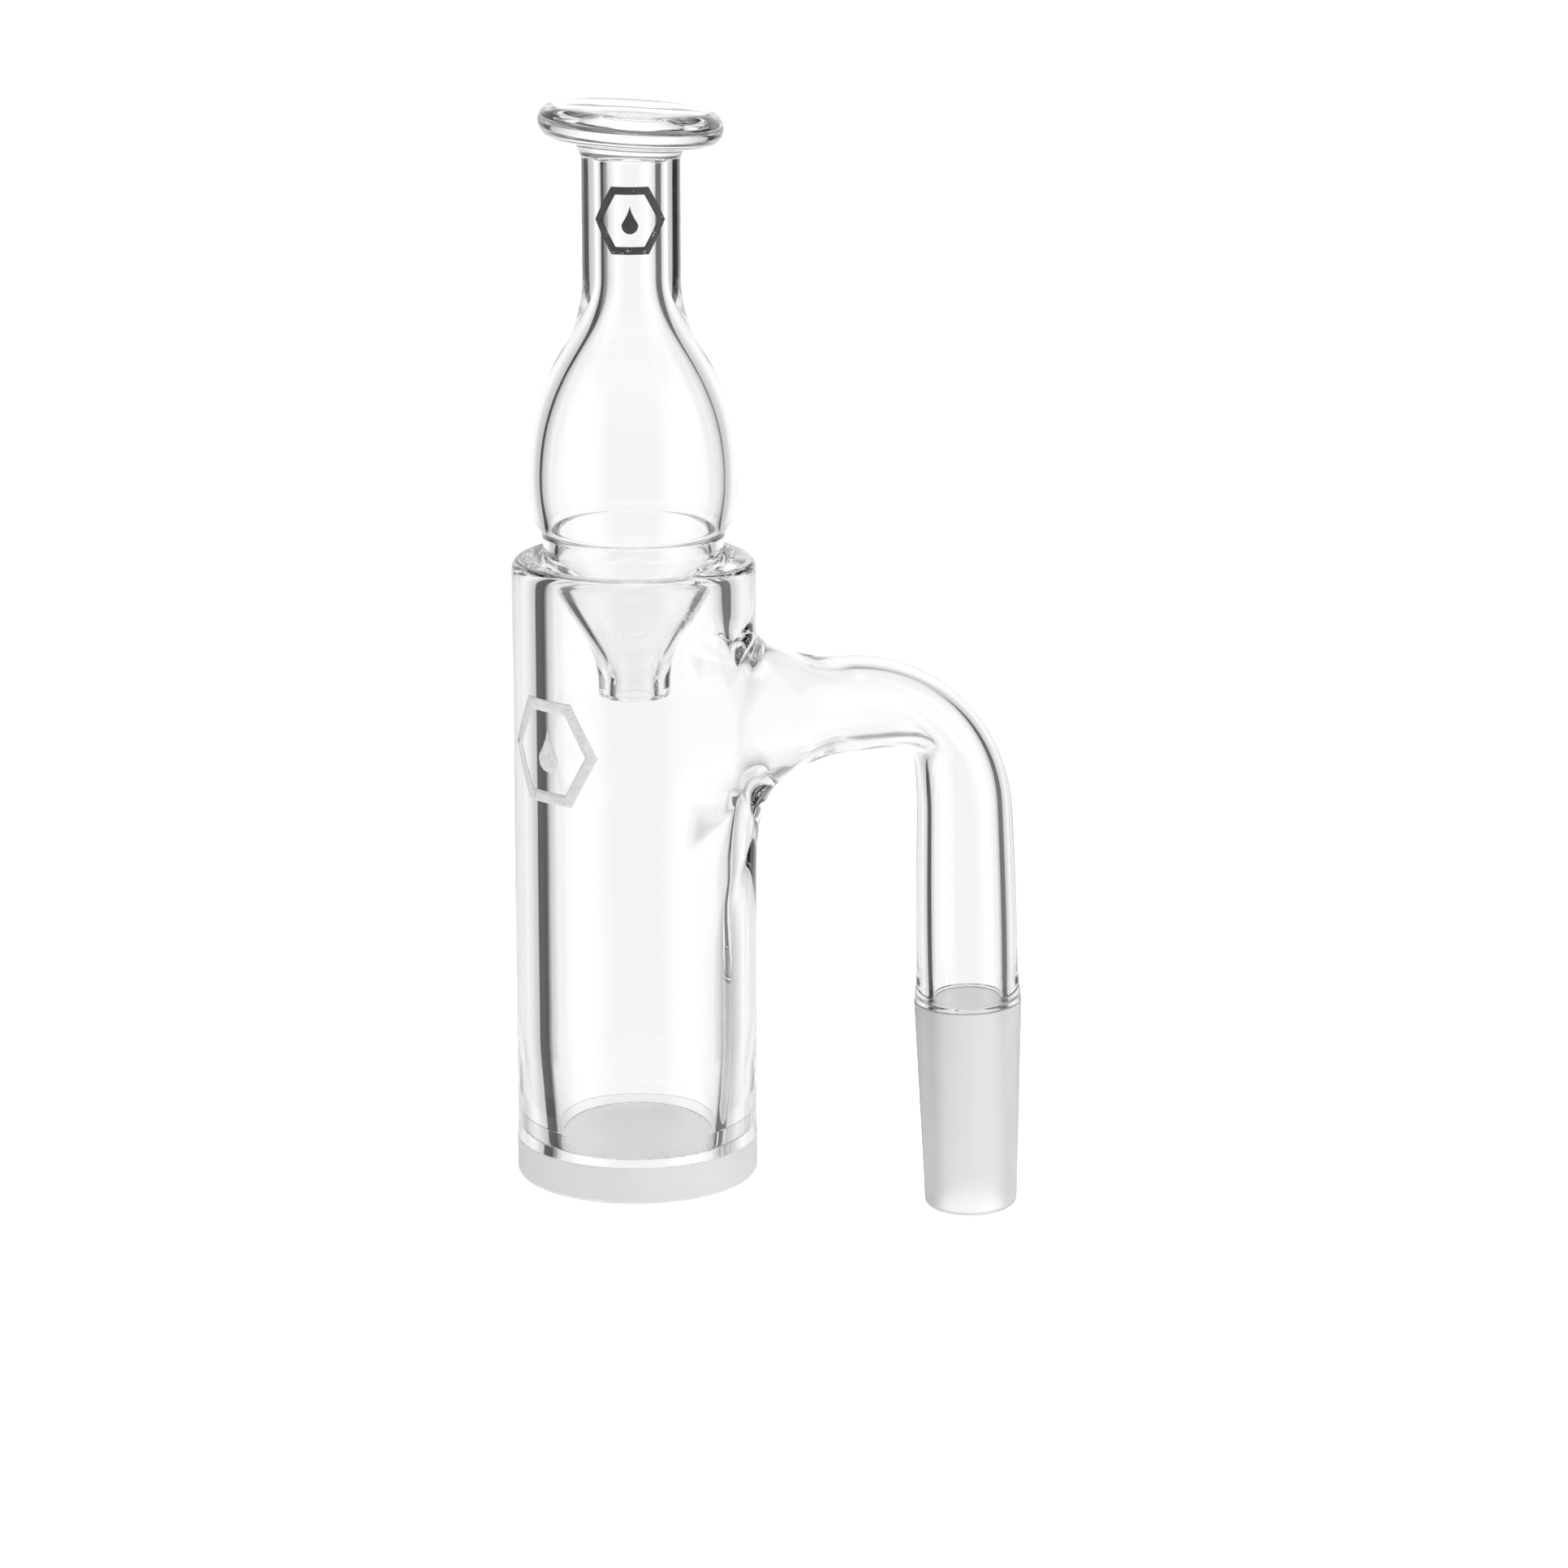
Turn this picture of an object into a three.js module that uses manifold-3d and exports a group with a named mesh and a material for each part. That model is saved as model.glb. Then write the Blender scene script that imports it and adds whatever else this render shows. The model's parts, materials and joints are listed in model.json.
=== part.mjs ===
// A clear quartz bucket with a bent side arm and a ground male joint,
// and the blown bubble cap that plugs into its rim. Millimetres, +Z up.
// The origin is on the bucket's axis, at the underside of its base.
// The side arm leaves the bucket along +X and turns down to the joint.

import * as THREE from 'three';
import * as BufferGeometryUtils from 'three/addons/utils/BufferGeometryUtils.js';
import Module from 'manifold-3d';

const wasm = await Module();
wasm.setup();

// Bucket: a thick tube on a flat frosted disc
const bucketRadius = 10.9;
const bucketWall = 3.0;
const bucketHeight = 56.9;
const rimOuterRound = 0.9;
const rimInnerRound = 1.3;
const heelHeight = 5.0;
const heelWidth = 0.65;
const baseThickness = 3.5;
const baseEdgeRound = 0.6;

// Nipple drawn out of the bucket's wall for the side arm
const armDrop = 15.4;
const nippleLength = 1.8;
const nippleRadius = 6.2;
const nippleBore = 5.1;
const saddleAbove = 2.4;
const saddleBelow = 7.0;
const saddleBeside = 1.5;
const mouthFlare = 0.7;
const nippleRootShare = 0.5;
const mouthRootShare = 0.25;
const boreCutShare = 1.7;

// Side arm: flared where it meets the nipple, then bent down
const armRadius = 4.45;
const armBore = 3.15;
const armFlareLength = 7.7;
const armReach = 32.5;
const bendRadius = 11.0;
const legLean = THREE.MathUtils.degToRad(1.5);
const weldGap = 0.3;

// Ground male joint
const jointDrop = 7.9;
const jointLength = 21.0;
const jointTopRadius = 5.0;
const jointEndRadius = 4.3;
const jointBore = 3.25;
const jointShoulder = 1.2;
const jointLip = 0.5;

// Cap: heights are counted from the bucket's rim
const seatClearance = 0.1;
const seatTaper = 0.25;
const collarRise = 1.2;
const collarDepth = 2.0;
const collarWall = 1.3;
const bulbBulge = 1.35;
const bulbWall = 1.2;
const bulbFootStep = 0.25;
const bulbWidest = 6.7;
const bulbFootPull = 0.5;
const footHandle = 0.5;
const bulbTop = 25.1;
const shoulderPull = 11.5;
const neckPull = 7.2;
const neckRadius = 4.35;
const neckBore = 2.2;
const neckTop = 36.7;
const neckRoof = 1.4;
const domeShare = 0.5;
const neckFillet = 0.9;
const funnelSpread = 0.6;
const funnelWall = 1.5;
const nozzleDepth = 12.3;
const nozzleRadius = 3.2;
const nozzleBore = 1.7;
const nozzleStraight = 1.2;
const nozzleLip = 0.35;
const funnelPull = 1 / 3;
const funnelSlope = 0.5;
const funnelBoreSlope = 1 / 3;
const tipHandle = 0.5;
const discRadius = 8.1;
const discThickness = 2.6;
const discRound = 1.15;
const discDish = 0.5;
const dishMiddle = 0.5;
const dishMiddleDepth = 0.75;
const discTilt = THREE.MathUtils.degToRad(3.5);

// Facets
const roundSegments = 36;
const armSegments = 20;
const saddleSegments = 24;
const saddleRings = 5;
const arcSteps = 4;
const curveSteps = 8;
const pathSteps = 18;

// Derived sizes
const boreRadius = bucketRadius - bucketWall;
const seamDistance = bucketRadius + nippleLength;
const armHeight = bucketHeight - armDrop;
const seatRadius = boreRadius - seatClearance;
const funnelRoot = seatRadius - funnelSpread;
const funnelBore = funnelRoot - funnelWall;
const bulbRadius = boreRadius + bulbBulge;
const bendStart = armReach - bendRadius;

const clearGlass = (color) => new THREE.MeshStandardMaterial({
  color,
  roughness: 0.04,
  metalness: 0.0,
  transparent: true,
  opacity: 0.45,
});

const frostedGlass = (color) => new THREE.MeshStandardMaterial({
  color,
  roughness: 0.75,
  metalness: 0.0,
});

function toSolid(geometry) {
  const plain = geometry.clone();
  plain.deleteAttribute('normal');
  plain.deleteAttribute('uv');
  const merged = BufferGeometryUtils.mergeVertices(plain, 1e-4);
  return new wasm.Manifold(new wasm.Mesh({
    numProp: 3,
    vertProperties: new Float32Array(merged.attributes.position.array),
    triVerts: new Uint32Array(merged.index.array),
  }));
}

function toGeometry(solid) {
  const mesh = solid.getMesh();
  const geometry = new THREE.BufferGeometry();
  geometry.setAttribute('position', new THREE.BufferAttribute(mesh.vertProperties, 3));
  geometry.setIndex(new THREE.BufferAttribute(mesh.triVerts, 1));
  geometry.computeVertexNormals();
  return geometry;
}

const point = (radius, height) => new THREE.Vector2(radius, height);

// A round stretch of a profile, from one angle to another in degrees
function arc(centreRadius, centreHeight, radius, from, to) {
  const points = [];
  for (let step = 0; step <= arcSteps; step += 1) {
    const angle = THREE.MathUtils.degToRad(from + ((to - from) * step) / arcSteps);
    points.push(point(
      centreRadius + radius * Math.cos(angle),
      centreHeight + radius * Math.sin(angle),
    ));
  }
  return points;
}

// A drawn-out stretch of a profile: a cubic curve given by its ends and handles
function drawn(start, startHandle, endHandle, end) {
  return new THREE.CubicBezierCurve(start, startHandle, endHandle, end).getPoints(curveSteps);
}

// A profile that starts and ends on the axis, turned about +Z
function turnedSolid(points, segments = roundSegments) {
  const geometry = new THREE.LatheGeometry(points, segments);
  geometry.rotateX(Math.PI / 2);
  return geometry;
}

// A profile that closes on itself, turned about +Z
function turnedRing(points, segments = roundSegments) {
  return turnedSolid([...points, points[0].clone()], segments);
}

// The flare of the nipple: radius at a share of the way from its foot on the wall
// to its seam, at an angle about the arm's axis (0 is up, 180 is down).
// Each line of it is a curve that leaves the wall and ends along the arm.
function saddleCurve(angle, wallRadius, seam, spread) {
  const side = Math.abs(Math.sin(angle));
  const up = Math.max(Math.cos(angle), 0);
  const down = Math.max(-Math.cos(angle), 0);
  const foot = seam + spread.beside * side * side + spread.above * up * up + spread.below * down * down;
  const footX = Math.sqrt(wallRadius ** 2 - (foot * side) ** 2);
  const cornerX = Math.sqrt(wallRadius ** 2 - (seam * side) ** 2);
  return new THREE.QuadraticBezierCurve(
    new THREE.Vector2(footX, foot),
    new THREE.Vector2(cornerX, seam),
    new THREE.Vector2(seamDistance, seam),
  );
}

// A closed plug of that shape along +X: from inside the wall, out to the seam
function saddlePlug(rootX, wallRadius, seam, spread) {
  const geometry = new THREE.CylinderGeometry(1, 1, 1, saddleSegments, saddleRings + 1);
  const position = geometry.attributes.position;
  for (let index = 0; index < position.count; index += 1) {
    const share = position.getY(index) + 0.5;
    const angle = Math.atan2(position.getX(index), position.getZ(index));
    const onAxis = Math.hypot(position.getX(index), position.getZ(index)) < 0.5;
    const curve = saddleCurve(angle, wallRadius, seam, spread);
    const along = (share * (saddleRings + 1) - 1) / saddleRings;
    const at = curve.getPoint(Math.max(along, 0));
    const x = along < 0 ? rootX : at.x;
    const radius = onAxis ? 0 : at.y;
    const capX = onAxis && along >= 1 ? seamDistance : x;
    position.setXYZ(index, capX, -radius * Math.sin(angle), armHeight + radius * Math.cos(angle));
  }
  return geometry;
}

// The arm's centreline: straight out, round the bend, and down the leaning leg
function armCentreline(startX, legEnd) {
  const path = new THREE.CurvePath();
  const bendCentre = new THREE.Vector3(bendStart, 0, armHeight - bendRadius);
  const bend = new THREE.Curve();
  bend.getPoint = (share, target = new THREE.Vector3()) => {
    const angle = share * (Math.PI / 2 - legLean);
    return target.set(
      bendCentre.x + bendRadius * Math.sin(angle),
      0,
      bendCentre.z + bendRadius * Math.cos(angle),
    );
  };
  path.add(new THREE.LineCurve3(new THREE.Vector3(startX, 0, armHeight), bend.getPoint(0)));
  path.add(bend);
  path.add(new THREE.LineCurve3(bend.getPoint(1), legEnd));
  return path;
}

function roundBar(radius, path) {
  const section = new THREE.Shape();
  section.absarc(0, 0, radius, 0, 2 * Math.PI, false);
  return new THREE.ExtrudeGeometry(section, {
    steps: pathSteps,
    curveSegments: armSegments / 2,
    extrudePath: path,
    bevelEnabled: false,
  });
}

// The trumpet at the arm's root, turned about +X: it eases into the arm's own radius
function armTrumpet(rootRadius, endRadius, startX, endX) {
  const outline = [point(0, startX)];
  for (let step = 0; step <= curveSteps; step += 1) {
    const share = step / curveSteps;
    const x = startX + (endX - startX) * share;
    outline.push(point(endRadius + (rootRadius - endRadius) * (1 - share) ** 2, x));
  }
  outline.push(point(0, endX));
  const geometry = new THREE.LatheGeometry(outline, armSegments);
  geometry.rotateZ(-Math.PI / 2);
  geometry.translate(0, 0, armHeight);
  return geometry;
}

// The leg's lower end, and its direction, which the joint follows
function legFrame() {
  const bendEnd = new THREE.Vector3(
    bendStart + bendRadius * Math.cos(legLean),
    0,
    armHeight - bendRadius + bendRadius * Math.sin(legLean),
  );
  const direction = new THREE.Vector3(Math.sin(legLean), 0, -Math.cos(legLean));
  const wholeLength = (bendEnd.z + jointDrop) / Math.cos(legLean);
  const legLength = wholeLength - jointLength - weldGap;
  const legEnd = bendEnd.clone().addScaledVector(direction, legLength);
  const jointTop = legEnd.clone().addScaledVector(direction, weldGap);
  return { direction, legEnd, jointTop };
}

function bucketTube() {
  const rimInner = boreRadius + rimInnerRound;
  const outline = [
    point(boreRadius - heelWidth, baseThickness),
    point(bucketRadius, baseThickness),
    ...arc(bucketRadius - rimOuterRound, bucketHeight - rimOuterRound, rimOuterRound, 0, 90),
    ...arc(rimInner, bucketHeight - rimInnerRound, rimInnerRound, 90, 180),
  ];
  for (let step = 0; step < arcSteps; step += 1) {
    const share = step / arcSteps;
    outline.push(point(boreRadius - heelWidth * share ** 2, baseThickness + heelHeight * (1 - share)));
  }
  const tube = toSolid(turnedRing(outline));
  const outerSpread = { above: saddleAbove, below: saddleBelow, beside: saddleBeside };
  const innerSpread = { above: mouthFlare, below: mouthFlare, beside: 0 };
  const boreFrom = armHeight - bucketRadius * boreCutShare;
  const nipple = toSolid(saddlePlug(boreRadius * nippleRootShare, bucketRadius, nippleRadius, outerSpread));
  const mouth = toSolid(saddlePlug(boreRadius * mouthRootShare, boreRadius, nippleBore, innerSpread));
  const bore = toSolid(turnedSolid([
    point(0, boreFrom),
    point(boreRadius, boreFrom),
    point(boreRadius, bucketHeight - rimInnerRound),
    point(0, bucketHeight - rimInnerRound),
  ]));
  return toGeometry(tube.add(nipple.subtract(bore)).subtract(mouth));
}

function baseDisc() {
  return turnedSolid([
    point(0, 0),
    ...arc(bucketRadius - baseEdgeRound, baseEdgeRound, baseEdgeRound, -90, 0),
    point(bucketRadius, baseThickness),
    point(0, baseThickness),
  ]);
}

function sideArm() {
  const { direction, legEnd } = legFrame();
  const beyond = legEnd.clone().addScaledVector(direction, bucketWall);
  const flareEnd = seamDistance + armFlareLength;
  const before = seamDistance - weldGap;
  const outer = toSolid(roundBar(armRadius, armCentreline(seamDistance, legEnd)))
    .add(toSolid(armTrumpet(nippleRadius, armRadius, seamDistance, flareEnd)));
  const inner = toSolid(roundBar(armBore, armCentreline(before, beyond)))
    .add(toSolid(armTrumpet(nippleBore, armBore, before, flareEnd)));
  return toGeometry(outer.subtract(inner));
}

// Height 0 is the joint's end and its length runs up to the shoulder
function groundJoint() {
  return turnedRing([
    point(jointBore, 0),
    ...arc(jointEndRadius - jointLip, jointLip, jointLip, -90, 0),
    point(jointTopRadius, jointLength - jointShoulder),
    point(armRadius, jointLength),
    point(armBore, jointLength),
  ], armSegments);
}

// The tapered ring that seats in the bucket's bore
function capCollar() {
  const topRadius = seatRadius + seatTaper;
  const inner = seatRadius - collarWall;
  return turnedRing([
    point(funnelBore, -collarDepth),
    point(funnelRoot, -collarDepth),
    point(seatRadius, -rimInnerRound),
    point(topRadius, collarRise),
    point(inner, collarRise),
    point(inner, 0),
  ]);
}

function capBulb() {
  const footRadius = seatRadius + seatTaper + bulbFootStep;
  const inner = bulbRadius - bulbWall;
  const innerFoot = seatRadius - collarWall;
  const footPull = (bulbWidest - collarRise) * bulbFootPull;
  return turnedRing([
    ...drawn(
      point(footRadius, collarRise),
      point(footRadius + bulbFootStep, collarRise + footPull * footHandle),
      point(bulbRadius, bulbWidest - footPull),
      point(bulbRadius, bulbWidest),
    ),
    ...drawn(
      point(bulbRadius, bulbWidest),
      point(bulbRadius, bulbWidest + shoulderPull),
      point(neckRadius, bulbTop - neckPull),
      point(neckRadius, bulbTop),
    ).slice(1),
    ...drawn(
      point(neckBore, bulbTop),
      point(neckBore, bulbTop - neckPull + bulbWall),
      point(inner, bulbWidest + shoulderPull - bulbWall),
      point(inner, bulbWidest),
    ),
    ...drawn(
      point(inner, bulbWidest),
      point(inner, bulbWidest - footPull),
      point(innerFoot, collarRise + footPull * footHandle),
      point(innerFoot, collarRise),
    ).slice(1),
  ]);
}

// The neck's bore ends in a dome under its roof
function capNeck() {
  const domeRise = neckBore * domeShare;
  const domeBase = neckTop - neckRoof - domeRise;
  const dome = arc(0, 0, neckBore, 90, 0).map(({ x, y }) => point(x, domeBase + y * domeShare));
  const flare = arc(neckRadius + neckFillet, neckTop - neckFillet, neckFillet, 180, 90);
  return turnedSolid([
    point(0, dome[0].y),
    ...dome.slice(1),
    point(neckBore, bulbTop),
    point(neckRadius, bulbTop),
    ...flare,
    point(0, neckTop),
  ]);
}

// A funnel that draws in to the straight tip over the bucket's floor
function capNozzle() {
  const tipStart = -nozzleDepth + nozzleStraight;
  const drop = (nozzleDepth - nozzleStraight - collarDepth) * funnelPull;
  return turnedRing([
    ...arc(nozzleBore + nozzleLip, -nozzleDepth + nozzleLip, nozzleLip, 180, 270),
    ...arc(nozzleRadius - nozzleLip, -nozzleDepth + nozzleLip, nozzleLip, 270, 360),
    ...drawn(
      point(nozzleRadius, tipStart),
      point(nozzleRadius, tipStart + drop),
      point(funnelRoot - drop * funnelSlope, -collarDepth - drop),
      point(funnelRoot, -collarDepth),
    ),
    ...drawn(
      point(funnelBore, -collarDepth),
      point(funnelBore - drop * funnelBoreSlope, -collarDepth - drop),
      point(nozzleBore, tipStart + drop * tipHandle),
      point(nozzleBore, tipStart),
    ),
  ]);
}

// Height 0 is the middle of the disc's underside
function capDisc() {
  const edge = discRadius - discRound;
  return turnedSolid([
    point(0, 0),
    ...arc(edge, discRound, discRound, -90, 0),
    ...arc(edge, discThickness - discRound, discRound, 0, 90),
    point(edge * dishMiddle, discThickness - discDish * dishMiddleDepth),
    point(0, discThickness - discDish),
  ]);
}

function named(name, geometry, material) {
  const mesh = new THREE.Mesh(geometry, material);
  mesh.name = name;
  return mesh;
}

function bucket() {
  const group = new THREE.Group();
  group.add(named('bucket_tube', bucketTube(), clearGlass(0xf2f4f3)));
  group.add(named('base_disc', baseDisc(), frostedGlass(0xd8d9d8)));
  group.add(named('side_arm', sideArm(), clearGlass(0xf4f5f5)));
  const joint = named('ground_joint', groundJoint(), frostedGlass(0xe2e3e2));
  const { direction, jointTop } = legFrame();
  joint.rotation.y = -legLean;
  joint.position.copy(jointTop).addScaledVector(direction, jointLength);
  group.add(joint);
  return group;
}

function cap() {
  const group = new THREE.Group();
  group.position.z = bucketHeight;
  group.add(named('cap_collar', capCollar(), clearGlass(0xeef0ef)));
  group.add(named('cap_bulb', capBulb(), clearGlass(0xf4f5f5)));
  group.add(named('cap_neck', capNeck(), clearGlass(0xf0f2f1)));
  group.add(named('cap_nozzle', capNozzle(), clearGlass(0xeff1f0)));
  const disc = named('cap_disc', capDisc(), clearGlass(0xf1f2f2));
  disc.rotation.y = discTilt;
  disc.position.z = neckTop + weldGap + (neckRadius + neckFillet) * Math.sin(discTilt);
  group.add(disc);
  return group;
}

const part = new THREE.Group();
part.add(bucket());
part.add(cap());

export default part;
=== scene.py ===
# A clear quartz bucket with a bent side arm, a ground joint and a blown bubble cap
import json
import random
from math import atan2, cos, hypot, pi, radians, sin, sqrt, tau

import bmesh
import bpy
from mathutils import Matrix, Vector, geometry


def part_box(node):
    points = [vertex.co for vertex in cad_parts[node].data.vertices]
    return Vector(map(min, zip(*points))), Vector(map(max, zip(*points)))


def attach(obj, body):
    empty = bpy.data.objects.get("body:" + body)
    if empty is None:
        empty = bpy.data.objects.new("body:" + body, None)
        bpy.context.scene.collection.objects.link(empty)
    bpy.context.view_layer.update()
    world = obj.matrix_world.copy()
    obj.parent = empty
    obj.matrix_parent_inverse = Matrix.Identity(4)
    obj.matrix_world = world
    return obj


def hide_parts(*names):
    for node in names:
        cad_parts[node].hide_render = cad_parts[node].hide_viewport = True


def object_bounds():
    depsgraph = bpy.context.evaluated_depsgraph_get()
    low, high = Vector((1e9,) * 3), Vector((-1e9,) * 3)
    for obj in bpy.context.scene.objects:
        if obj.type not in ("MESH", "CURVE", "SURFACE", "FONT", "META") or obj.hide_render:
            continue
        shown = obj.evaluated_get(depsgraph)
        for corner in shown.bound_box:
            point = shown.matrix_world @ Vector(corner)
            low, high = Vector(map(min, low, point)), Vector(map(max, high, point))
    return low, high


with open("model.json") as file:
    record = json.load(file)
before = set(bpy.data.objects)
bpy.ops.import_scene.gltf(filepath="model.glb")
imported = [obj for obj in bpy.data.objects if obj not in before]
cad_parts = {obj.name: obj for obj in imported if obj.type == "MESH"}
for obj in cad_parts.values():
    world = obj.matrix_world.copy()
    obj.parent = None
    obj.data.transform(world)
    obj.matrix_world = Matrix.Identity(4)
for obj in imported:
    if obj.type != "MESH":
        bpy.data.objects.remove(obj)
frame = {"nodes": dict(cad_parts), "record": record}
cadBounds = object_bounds()
scene = bpy.context.scene
mm = 0.001  # pieces are modelled in millimetres and scaled once, in finishPiece
print("frame loaded:", ", ".join(sorted(frame["nodes"])))


cameraLook = {
    "azimuth": -23.0,
    "elevation": 14.91,
    "distance": 490.85,
    "lens": 125.97,
    "sensor": 36,
    "aimSideways": 13.307,
    "aimHeight": 36.073,
}


def makeCamera():
    look = cameraLook
    turn = radians(look["azimuth"])
    tilt = radians(look["elevation"])
    right = Vector((cos(turn), sin(turn), 0))
    back = Vector((sin(turn) * cos(tilt), -cos(turn) * cos(tilt), sin(tilt)))
    aim = right * look["aimSideways"] + Vector((0, 0, look["aimHeight"]))
    camera = bpy.data.objects.new("camera", bpy.data.cameras.new("camera"))
    camera.data.lens = look["lens"]
    camera.data.sensor_width = look["sensor"]
    camera.data.clip_start = 0.01
    axes = Matrix((right, back.cross(right), back)).transposed()
    camera.matrix_world = Matrix.Translation((aim + back * look["distance"]) * mm) @ axes.to_4x4()
    scene.collection.objects.link(camera)
    scene.camera = camera


makeCamera()
print("camera placed")


class Wire:
    # a shader socket that can be added, subtracted and multiplied
    def __init__(self, tree, socket=None):
        self.tree = tree
        self.socket = socket

    def node(self, kind, settings, sockets, output=0):
        made = self.tree.nodes.new(kind)
        for name, value in settings.items():
            if name == "stops":
                self.fillRamp(made.color_ramp, value)
            else:
                setattr(made, name, value)
        for name, value in sockets.items():
            if isinstance(value, Wire):
                self.tree.links.new(value.socket, made.inputs[name])
            else:
                made.inputs[name].default_value = value
        return Wire(self.tree, made.outputs[output])

    def fillRamp(self, ramp, stops):
        while len(ramp.elements) < len(stops):
            ramp.elements.new(0.5)
        for element, (place, level) in zip(ramp.elements, stops):
            element.position = place
            element.color = grey(level)

    def maths(self, operation, *values):
        return self.node("ShaderNodeMath", {"operation": operation}, dict(enumerate(values)))

    def __add__(self, other):
        return self.maths("ADD", self, other)

    def __radd__(self, other):
        return self.maths("ADD", other, self)

    def __sub__(self, other):
        return self.maths("SUBTRACT", self, other)

    def __rsub__(self, other):
        return self.maths("SUBTRACT", other, self)

    def __mul__(self, other):
        return self.maths("MULTIPLY", self, other)

    def __rmul__(self, other):
        return self.maths("MULTIPLY", other, self)

    def between(self, low, high):
        # 0 below low, 1 above high, smooth in the middle
        limits = {"Value": self, "From Min": low, "From Max": high}
        return self.node("ShaderNodeMapRange", {"interpolation_type": "SMOOTHSTEP"}, limits)

    def blend(self, first, second):
        # this socket is the factor between two colours
        colours = {0: self, 6: first, 7: second}
        return self.node("ShaderNodeMix", {"data_type": "RGBA"}, colours, 2)


def grey(level, tint=0.0):
    return (level + tint, level + tint * 0.3, level - tint, 1)


def newTree(owner):
    owner.use_nodes = True
    owner.node_tree.nodes.clear()
    return Wire(owner.node_tree)


def grain(wire, fineness, detail=3, stretch=(1, 1, 1)):
    # noise in the piece's own object coordinates, in metres
    place = wire.node("ShaderNodeTexCoord", {}, {}, "Object")
    stretched = wire.node("ShaderNodeMapping", {}, {"Vector": place, "Scale": stretch})
    return wire.node("ShaderNodeTexNoise", {}, {"Vector": stretched, "Scale": fineness, "Detail": detail})


def endTree(wire, kind, shader):
    wire.tree.links.new(shader.socket, wire.tree.nodes.new(kind).inputs["Surface"])


clearLook = {
    "ior": 1.458,
    "drawLineFineness": 420,
    "drawLineStretch": (1, 1, 0.12),
    "drawLineShare": 0.25,
    "rippleFineness": 90,
    "rippleStrength": 0.035,
    "rippleDepth": 0.0004,
    "speckFineness": 2600,
    "haze": 0.012,
}


def clearQuartz(name):
    # polished by the flame: faint draw lines along the tube and slow ripples
    look = clearLook
    material = bpy.data.materials.new(name)
    wire = newTree(material)
    drawLines = grain(wire, look["drawLineFineness"], 2, look["drawLineStretch"])
    ripples = grain(wire, look["rippleFineness"], 2)
    specks = grain(wire, look["speckFineness"], 1).between(0.68, 0.8)
    bump = wire.node("ShaderNodeBump", {}, {
        "Strength": look["rippleStrength"],
        "Distance": look["rippleDepth"],
        "Height": drawLines * look["drawLineShare"] + ripples,
    })
    shader = wire.node("ShaderNodeBsdfPrincipled", {}, {
        "Base Color": ripples.blend(grey(0.985, 0.001), grey(1.0)),
        "Roughness": specks * look["haze"],
        "Transmission Weight": 1.0,
        "IOR": look["ior"],
        "Normal": bump,
    })
    endTree(wire, "ShaderNodeOutputMaterial", shader)
    return material


frostLook = {
    "pale": 0.985,
    "dark": 0.93,
    "roughness": 0.5,
    "grainFineness": 9000,
    "grainStrength": 0.35,
    "grainDepth": 0.00003,
    "mottleFineness": 260,
    "streakFineness": 500,
    "streakStretch": (1, 1, 0.08),
    "speckFineness": 3200,
    "base": {"lift": 0.0, "seeThrough": 0.68, "glow": 0.0},
    "floor": {"lift": 0.0, "seeThrough": 0.65, "glow": 0.24},
    "joint": {"lift": 0.012, "seeThrough": 0.65, "glow": 0.0},
}


def frostedQuartz(name, part):
    # ground with grit: fine even grain, slow mottling and a few polished specks;
    # the floor's glow stands for light that has scattered inside the disc and comes up through its top
    look = frostLook
    own = look[part]
    material = bpy.data.materials.new(name)
    wire = newTree(material)
    fine = grain(wire, look["grainFineness"], 4)
    mottle = grain(wire, look["mottleFineness"], 4)
    streaks = grain(wire, look["streakFineness"], 2, look["streakStretch"])
    specks = grain(wire, look["speckFineness"], 1).between(0.70, 0.78)
    shade = mottle * 0.55 + streaks * 0.25 + fine * 0.2
    dark = grey(look["dark"] + own["lift"], 0.004)
    pale = grey(look["pale"] + own["lift"], 0.003)
    tone = shade.between(0.3, 0.7).blend(dark, pale)
    bump = wire.node("ShaderNodeBump", {}, {
        "Strength": look["grainStrength"],
        "Distance": look["grainDepth"],
        "Height": fine,
    })
    shader = wire.node("ShaderNodeBsdfPrincipled", {}, {
        "Base Color": tone,
        "Roughness": look["roughness"] - specks * 0.2 + mottle * 0.1,
        "Transmission Weight": own["seeThrough"],
        "IOR": clearLook["ior"],
        "Emission Color": tone,
        "Emission Strength": own["glow"],
        "Normal": bump,
    })
    endTree(wire, "ShaderNodeOutputMaterial", shader)
    return material


printLook = {
    "patchFineness": 700,
    "speckFineness": 6000,
    "toneFineness": 1500,
    "roughness": 0.45,
    "inkStrength": 0.2,
    "inkDepth": 0.00002,
    "fired": {"dark": 0.035, "pale": 0.07, "wear": 0.8},
    "etched": {"dark": 0.55, "pale": 0.8, "wear": 0.4},
}


def markedQuartz(name, kind):
    # ink fired on the glass or a shallow etch, thinner in patches where it has rubbed
    look = printLook
    own = look[kind]
    material = bpy.data.materials.new(name)
    wire = newTree(material)
    patches = grain(wire, look["patchFineness"], 4).between(0.52, 0.62)
    specks = grain(wire, look["speckFineness"], 2).between(0.5, 0.62)
    bump = wire.node("ShaderNodeBump", {}, {
        "Strength": look["inkStrength"],
        "Distance": look["inkDepth"],
        "Height": specks,
    })
    shader = wire.node("ShaderNodeBsdfPrincipled", {}, {
        "Base Color": grain(wire, look["toneFineness"], 3).blend(grey(own["dark"]), grey(own["pale"])),
        "Roughness": look["roughness"] + specks * 0.25,
        "Alpha": 1 - patches * specks * own["wear"],
        "Normal": bump,
    })
    endTree(wire, "ShaderNodeOutputMaterial", shader)
    return material


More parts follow.
